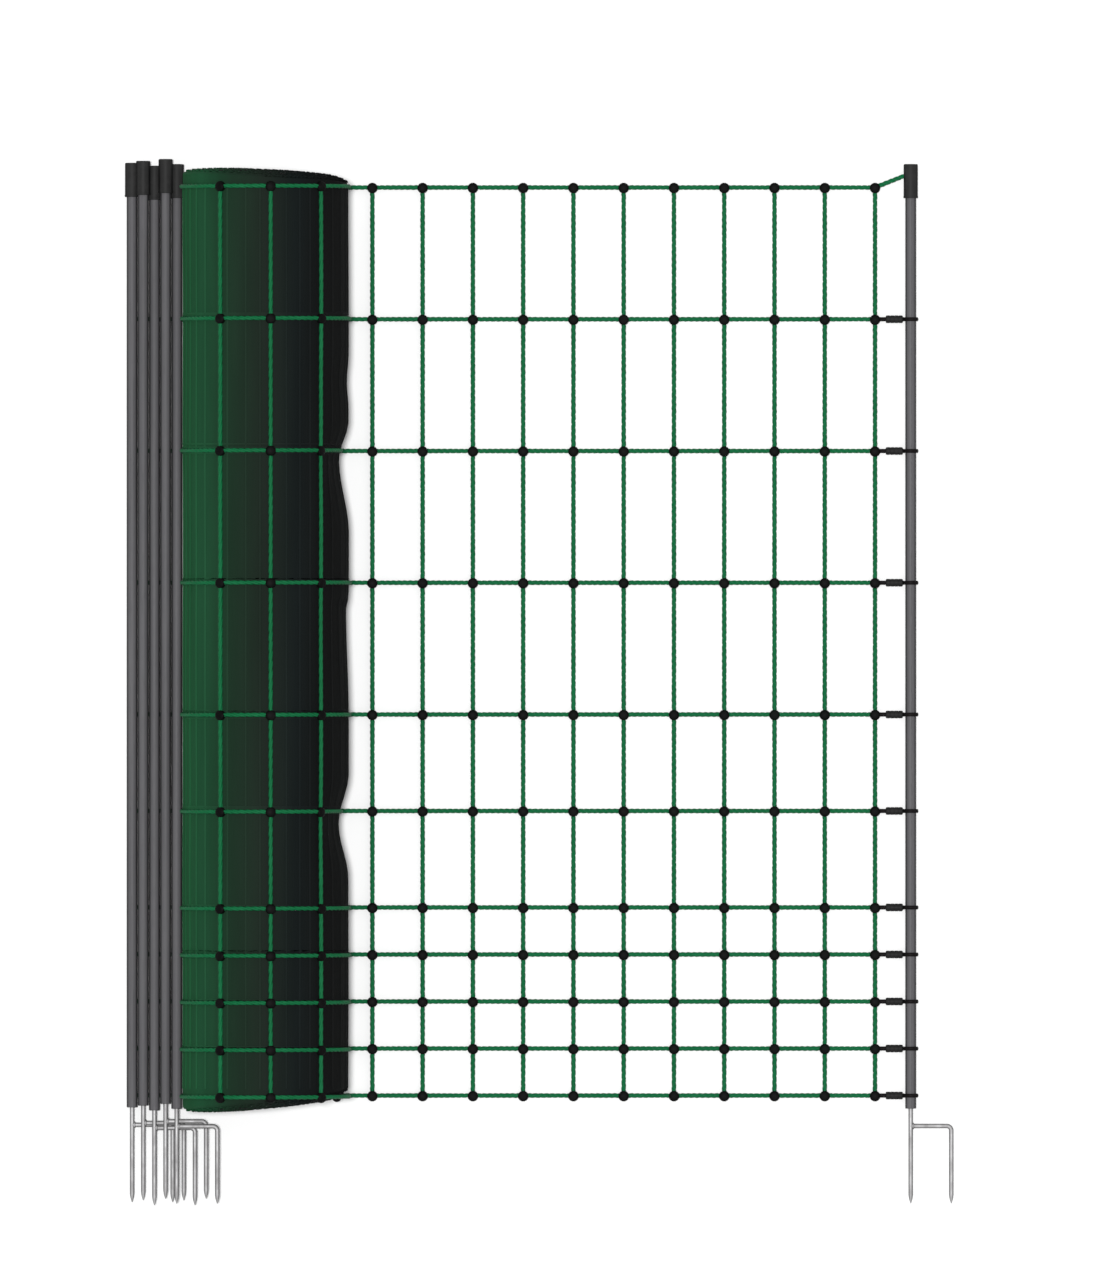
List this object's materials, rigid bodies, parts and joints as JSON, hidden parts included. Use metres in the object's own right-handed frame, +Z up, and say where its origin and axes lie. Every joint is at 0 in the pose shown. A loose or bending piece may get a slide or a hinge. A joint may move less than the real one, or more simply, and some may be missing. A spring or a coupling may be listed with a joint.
{
  "type": "electric poultry netting",
  "caption": "Electric netting for poultry: a bay of knotted green polywire mesh, its rolled-up length, and step-in posts with caps, clips and steel spikes.",
  "frame": {"origin": "centre of the bounding box, on the floor the netting lies on", "axes": "+X along the net towards the end post, +Y up the posts towards their caps, +Z up from the floor"},
  "size_m": [1.0218, 1.29, 0.2187],
  "materials": {
    "net_cord": "twisted green polywire, satin",
    "rolled_net": "dark green layers of rolled netting",
    "post_plastic": "satin grey, drawn lengthwise",
    "black_plastic": "moulded, satin",
    "spike_steel": "galvanised, lightly worn"
  },
  "bodies": {
    "root": {"net": "net_cord", "net_roll": "rolled_net", "end_post_rod": "post_plastic", "end_post_cap": "black_plastic", "end_post_spike": "spike_steel", "post_clip_01": "black_plastic", "post_clip_02": "black_plastic", "post_clip_03": "black_plastic", "post_clip_04": "black_plastic", "post_clip_05": "black_plastic", "post_clip_06": "black_plastic", "post_clip_07": "black_plastic", "post_clip_08": "black_plastic", "post_clip_09": "black_plastic", "post_clip_10": "black_plastic", "post_rod_1": "post_plastic", "post_rod_2": "post_plastic", "post_rod_3": "post_plastic", "post_rod_4": "post_plastic", "post_rod_5": "post_plastic", "post_cap_1": "black_plastic", "post_cap_2": "black_plastic", "post_cap_3": "black_plastic", "post_cap_4": "black_plastic", "post_cap_5": "black_plastic", "post_spike_1": "spike_steel", "post_spike_2": "spike_steel", "post_spike_3": "spike_steel", "post_spike_4": "spike_steel", "post_spike_5": "spike_steel"}
  },
  "joints": []
}
